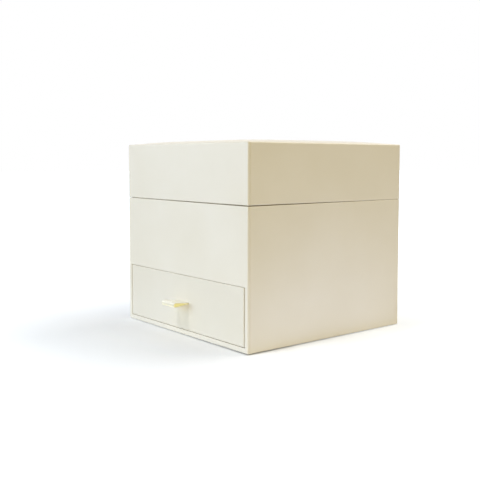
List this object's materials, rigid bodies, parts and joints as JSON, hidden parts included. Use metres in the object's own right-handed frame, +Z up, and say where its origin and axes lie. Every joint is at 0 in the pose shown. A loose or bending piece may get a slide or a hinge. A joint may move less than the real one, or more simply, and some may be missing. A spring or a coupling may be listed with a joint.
{
  "type": "paper jewelry gift box",
  "caption": "Square rigid paper gift box with a padded lift-off lid over a neck, an upper compartment and a ribbon-pulled drawer with ring rolls.",
  "frame": {"origin": "middle of the base's underside", "axes": "+Z up, -Y out of the drawer's face, +X to the viewer's right when the drawer's face is looked at"},
  "size_m": [0.15, 0.1628, 0.1408],
  "materials": {
    "wrap_paper": "pearly cream paper, satin",
    "liner_paper": "plain cream paper, matt",
    "greyboard": "bare board, matt",
    "pad_foam": "soft foam",
    "velvet": "short pile velvet",
    "gold_ribbon": "metallic satin ribbon"
  },
  "bodies": {
    "base": {"base_bottom_sheet": "liner_paper", "base_wrap": "wrap_paper", "base_bottom_board": "greyboard", "base_left_board": "greyboard", "base_right_board": "greyboard", "base_back_board": "greyboard", "base_front_board": "greyboard", "shelf_board": "greyboard", "bay_liner": "liner_paper", "neck_front_board": "greyboard", "neck_back_board": "greyboard", "neck_left_board": "greyboard", "neck_right_board": "greyboard", "neck_wrap": "liner_paper", "compartment_floor_liner": "liner_paper", "compartment_cushion": "velvet"},
    "lid": {"lid_wrap": "wrap_paper", "lid_pad": "pad_foam", "lid_top_board": "greyboard", "lid_front_board": "greyboard", "lid_back_board": "greyboard", "lid_left_board": "greyboard", "lid_right_board": "greyboard", "lid_liner": "liner_paper"},
    "drawer": {"drawer_wrap": "wrap_paper", "drawer_bottom_board": "greyboard", "drawer_front_board": "greyboard", "drawer_back_board": "greyboard", "drawer_left_board": "greyboard", "drawer_right_board": "greyboard", "drawer_liner": "liner_paper", "ribbon_pull": "gold_ribbon", "ring_roll_1": "velvet", "ring_roll_2": "velvet", "ring_roll_3": "velvet", "ring_roll_4": "velvet", "ring_roll_5": "velvet", "ring_roll_6": "velvet"}
  },
  "joints": [
    {"name": "lid_lift", "type": "slide", "parent": "base", "child": "lid", "axis": [0, 0, 1], "range_m": [0, 0.06]},
    {"name": "drawer_slide", "type": "slide", "parent": "base", "child": "drawer", "axis": [0, -1, 0], "range_m": [0, 0.13]}
  ]
}
